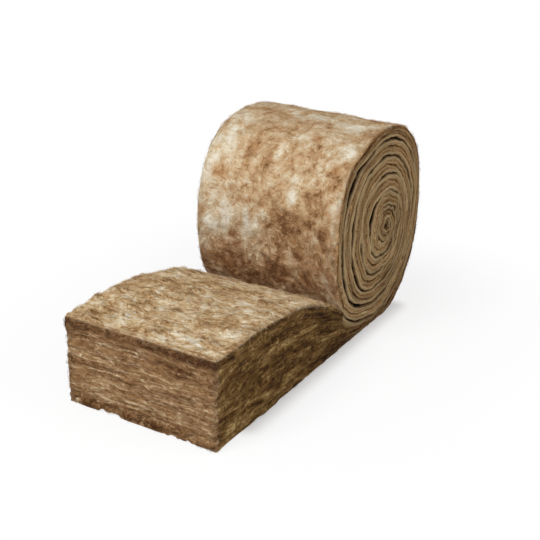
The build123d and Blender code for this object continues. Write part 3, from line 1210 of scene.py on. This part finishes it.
def fibre_tree():
    """Scatters thin bent fibres over a surface, each lying along the wool and standing off it."""
    tree = bpy.data.node_groups.new("loose_fibres", "GeometryNodeTree")

    for name, kind in (
        ("Blanket", "Geometry"), ("Amounts", "Vector"), ("Rim amount", "Float"),
        ("Shortest", "Float"), ("Longest", "Float"), ("Thickness", "Float"),
        ("Spread", "Float"), ("Tilt", "Float"), ("Waviness", "Float"), ("Seed", "Int"),
        ("Material", "Material"),
    ):
        tree.interface.new_socket(name=name, in_out="INPUT", socket_type="NodeSocket" + kind)
    tree.interface.new_socket(name="Fibres", in_out="OUTPUT", socket_type="NodeSocketGeometry")
    given_node = tree.nodes.new("NodeGroupInput")
    given = {socket.name: Wire(tree, socket) for socket in given_node.outputs if socket.name}

    def named(name, kind):
        return add_node(tree, "GeometryNodeInputNamedAttribute", {"data_type": kind}, {0: name})

    def chance(low, high, shift):
        return add_node(tree, "FunctionNodeRandomValue", {"data_type": "FLOAT"},
                        {2: low, 3: high, 8: given["Seed"] + shift}, output=1)

    def turned_about(rotation, axis, angle):
        turn = add_node(tree, "FunctionNodeAxisAngleToRotation", None, {0: axis, 1: angle})
        return add_node(tree, "FunctionNodeRotateRotation", {"rotation_space": "LOCAL"},
                        {0: rotation, 1: turn})

    # Where they stand and which way they lie
    density = add_node(tree, "ShaderNodeVectorMath", {"operation": "DOT_PRODUCT"},
                       {0: named("sort", "FLOAT_VECTOR"), 1: given["Amounts"]}, output=1)
    shade = add_node(tree, "ShaderNodeSeparateXYZ", None, {0: named("marks_and_shade", "FLOAT_VECTOR")}, 1)
    open_share = (1 - shade * dark_thinning).clamped()
    density = (density + named("rim", "FLOAT") * given["Rim amount"]) * open_share
    scatter = tree.nodes.new("GeometryNodeDistributePointsOnFaces")
    for name, wire in (("Mesh", given["Blanket"]), ("Density", density), ("Seed", given["Seed"])):
        tree.links.new(wire.socket, scatter.inputs[name])
    points, normal = Wire(tree, scatter.outputs["Points"]), Wire(tree, scatter.outputs["Normal"])
    lying = add_node(tree, "FunctionNodeAxesToRotation",
                     {"primary_axis": "Z", "secondary_axis": "X"},
                     {0: normal, 1: named("flow", "FLOAT_VECTOR")})
    lying = turned_about(lying, (0, 0, 1), chance(given["Spread"] * -1.0, given["Spread"], 1))
    lying = turned_about(lying, (0, 1, 0), chance(given["Tilt"] * -1.0, given["Tilt"], 2))

    # One fibre, of length 1, bent and thin at its ends
    line = add_node(tree, "GeometryNodeCurvePrimitiveLine", None, {0: (-0.5, 0, 0), 1: (0.5, 0, 0)})
    line = add_node(tree, "GeometryNodeResampleCurve", None, {0: line, 2: fibre_stops})
    share = add_node(tree, "GeometryNodeSplineParameter")
    crown = share * (1 - share) * 4.0
    bend = add_node(tree, "ShaderNodeCombineXYZ", None,
                    {1: crown * bow_share, 2: crown * lean_share})
    line = add_node(tree, "GeometryNodeSetPosition", None, {0: line, 3: bend})
    ring = add_node(tree, "GeometryNodeCurvePrimitiveCircle", None, {0: 3, 4: 0.5})
    share_of_length = given["Thickness"].sum("DIVIDE", given["Thickness"], given["Longest"])
    fibre = add_node(tree, "GeometryNodeCurveToMesh", None, {
        0: line, 1: ring, 3: True,
        2: share_of_length * (thin_end_share + (1 - thin_end_share) * crown)})

    # All of them, made one mesh that waves and stays above the floor
    size = chance(given["Shortest"], given["Longest"], 3)
    placed = add_node(tree, "GeometryNodeInstanceOnPoints", None,
                      {0: points, 2: fibre, 5: lying, 6: size})
    placed = add_node(tree, "GeometryNodeStoreNamedAttribute",
                      {"data_type": "FLOAT", "domain": "INSTANCE"},
                      {0: placed, 2: "tone", 3: chance(0.0, 1.0, 4)})
    whole = add_node(tree, "GeometryNodeRealizeInstances", None, {0: placed})
    place = add_node(tree, "GeometryNodeInputPosition")
    wave = add_node(tree, "ShaderNodeTexNoise", None,
                    {"Vector": place, "Scale": wave_scale, "Detail": 1.0}, output=1)
    wave = add_node(tree, "ShaderNodeVectorMath", {"operation": "SUBTRACT"},
                    {0: wave, 1: (0.5, 0.5, 0.5)})
    wave = add_node(tree, "ShaderNodeVectorMath", {"operation": "SCALE"},
                    {0: wave, 3: given["Waviness"]})
    whole = add_node(tree, "GeometryNodeSetPosition", None, {0: whole, 3: wave})
    above = add_node(tree, "ShaderNodeVectorMath", {"operation": "MAXIMUM"},
                     {0: place, 1: (-far_off, -far_off, fibre_clearance)})
    whole = add_node(tree, "GeometryNodeSetPosition", None, {0: whole, 2: above})
    whole = add_node(tree, "GeometryNodeSetMaterial", None, {0: whole, 2: given["Material"]})
    output = tree.nodes.new("NodeGroupOutput")
    tree.links.new(whole.socket, output.inputs[0])
    return tree


def grow_fibres(name, tree, material, **sizes):
    """A piece of loose fibres that grow from the blanket's surface."""
    base = bpy.data.objects.new(name + "_base", blanket.data)
    bpy.context.scene.collection.objects.link(base)
    modifier = base.modifiers.new("fibres", "NODES")
    modifier.node_group = tree
    sizes["Material"] = material
    for item in tree.interface.items_tree:
        if item.in_out == "INPUT" and item.name in sizes:
            modifier[item.identifier] = sizes[item.name]
    graph = bpy.context.evaluated_depsgraph_get()
    mesh = bpy.data.meshes.new_from_object(base.evaluated_get(graph), depsgraph=graph)
    bpy.data.objects.remove(base)
    mesh.name = name
    mesh.shade_smooth()
    piece = bpy.data.objects.new(name, mesh)
    bpy.context.scene.collection.objects.link(piece)
    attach(piece, "root")


blanket.data.materials.append(wool_material("mineral_wool", False))
fibres = fibre_tree()
fibre_material = wool_material("loose_mineral_wool", True)
for name, sizes in (
    ("skin_fibres", {"Amounts": (11500.0, 0.0, 0.0), "Shortest": 0.008, "Longest": 0.026,
                     "Thickness": 0.00048, "Spread": 3.14, "Tilt": 0.06,
                     "Waviness": 0.007, "Seed": 11}),
    ("top_fibres", {"Amounts": (0.0, 44000.0, 0.0), "Shortest": 0.008, "Longest": 0.030,
                    "Thickness": 0.00060, "Spread": 0.9, "Tilt": 0.12,
                    "Waviness": 0.008, "Seed": 23}),
    ("cut_fibres", {"Amounts": (0.0, 0.0, 11000.0), "Shortest": 0.006, "Longest": 0.022,
                    "Thickness": 0.00050, "Spread": 0.30, "Tilt": 0.15,
                    "Waviness": 0.005, "Seed": 37}),
    ("rim_fibres", {"Rim amount": 150000.0, "Shortest": 0.006, "Longest": 0.020,
                    "Thickness": 0.00070, "Spread": 3.14, "Tilt": 0.60,
                    "Waviness": 0.008, "Seed": 53}),
):
    grow_fibres(name, fibres, fibre_material, **sizes)
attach(blanket, "root")
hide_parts("wool_blanket")

# Floor, lights and background

floor_size = 12.0
floor_shade = 0.88
footprint = (tail_length / 2, half_width, 0.0)

# The floor's own white, beneath its shadow: so much of it anywhere, and more with distance
white_share = 0.35
near_white_share = 0.45
far_white_share = 0.20
near_reach = 0.05
far_reach = 0.60

key_place = (-2.5, 0.5, 2.5)
key_size = 1.6
key_power = 104.0
fill_level = 0.33
side_place = (0.4, -3.0, 1.6)
side_size = 2.0
side_power = 38.0


def seen_plainly(tree):
    """1 for rays from the camera, a gloss or glass, which see white beyond the object."""
    rays = tree.nodes.new("ShaderNodeLightPath")
    camera, gloss, glass = (
        Wire(tree, rays.outputs[f"Is {kind} Ray"]) for kind in ("Camera", "Glossy", "Transmission")
    )
    return (camera + gloss + glass).clamped()


def add_floor():
    """A plain white floor that keeps the shadow near the object and fades to white."""
    mesh = bpy.data.meshes.new("floor")
    half = floor_size / 2
    mesh.from_pydata([(-half, -half, 0), (half, -half, 0), (half, half, 0), (-half, half, 0)],
                     [], [(0, 1, 2, 3)])
    floor = bpy.data.objects.new("floor", mesh)
    bpy.context.scene.collection.objects.link(floor)
    material = bpy.data.materials.new("floor")
    material.use_nodes = True
    tree = material.node_tree
    tree.nodes.clear()
    beyond = add_node(tree, "ShaderNodeTexCoord", output=3)
    for operation, by in (("ABSOLUTE", None), ("SUBTRACT", footprint), ("MAXIMUM", (0, 0, 0))):
        beyond = add_node(tree, "ShaderNodeVectorMath", {"operation": operation},
                          {0: beyond} if by is None else {0: beyond, 1: by})
    distance = add_node(tree, "ShaderNodeVectorMath", {"operation": "LENGTH"}, {0: beyond}, 1)
    grey = (floor_shade, floor_shade, floor_shade, 1)
    plain = add_node(tree, "ShaderNodeBsdfDiffuse", None, {"Color": grey})
    white = add_node(tree, "ShaderNodeEmission", None, {"Color": (1, 1, 1, 1), "Strength": 1.0})
    share = seen_plainly(tree) * (
        white_share + near_white_share * ease(distance, 0.0, near_reach)
        + far_white_share * ease(distance, near_reach, far_reach)
    )
    both = add_node(tree, "ShaderNodeMixShader", None, {0: share, 1: plain, 2: white})
    output = tree.nodes.new("ShaderNodeOutputMaterial")
    tree.links.new(both.socket, output.inputs["Surface"])
    mesh.materials.append(material)
    floor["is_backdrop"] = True


def add_world():
    """White behind everything, and an even soft light from all round."""
    world = bpy.data.worlds.new("studio")
    bpy.context.scene.world = world
    world.use_nodes = True
    tree = world.node_tree
    tree.nodes.clear()
    lit, white = (
        add_node(tree, "ShaderNodeBackground", None, {"Color": (1, 1, 1, 1), "Strength": strength})
        for strength in (fill_level, 1.0)
    )
    both = add_node(tree, "ShaderNodeMixShader", None, {0: seen_plainly(tree), 1: lit, 2: white})
    output = tree.nodes.new("ShaderNodeOutputWorld")
    tree.links.new(both.socket, output.inputs["Surface"])


def add_light(name, place, size, power):
    """A square soft light that faces the object."""
    lamp = bpy.data.lights.new(name, "AREA")
    lamp.shape = "SQUARE"
    lamp.size = size
    lamp.energy = power
    light = bpy.data.objects.new(name, lamp)
    light.location = place
    aim = Vector((0, 0, blanket_thickness)) - Vector(place)
    light.rotation_euler = aim.to_track_quat("-Z", "Y").to_euler()
    bpy.context.scene.collection.objects.link(light)


add_floor()
add_world()
add_light("key_light", key_place, key_size, key_power)
add_light("side_light", side_place, side_size, side_power)
bpy.context.scene.view_settings.view_transform = "Standard"

# Sizes, for comparing the dressed part with the plain one

new_low, new_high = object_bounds()
sizes = {"cad": [list(cad_low), list(cad_high)], "scene": [list(new_low), list(new_high)]}
